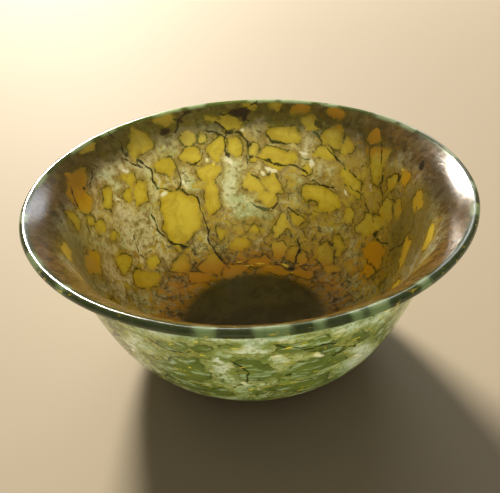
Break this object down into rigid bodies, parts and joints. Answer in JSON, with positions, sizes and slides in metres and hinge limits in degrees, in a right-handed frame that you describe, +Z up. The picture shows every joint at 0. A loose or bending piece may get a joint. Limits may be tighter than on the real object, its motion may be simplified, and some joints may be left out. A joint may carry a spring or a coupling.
{
  "type": "nephrite jade bowl",
  "caption": "Small round thin-walled carved stone bowl with a rounded belly, an everted lip with a round edge, and a low foot ring.",
  "frame": {"origin": "centre of the bowl's axis in the plane its foot ring rests on", "axes": "+Z up along the bowl's axis of revolution; +X and +Y are level, and the stone's mottling was seen from the -Y side"},
  "size_m": [0.105, 0.105, 0.0461],
  "materials": {
    "nephrite": "polished, translucent, mottled olive, golden and grey-green nephrite with dark veins"
  },
  "bodies": {
    "root": {"bowl": "nephrite"}
  },
  "joints": []
}
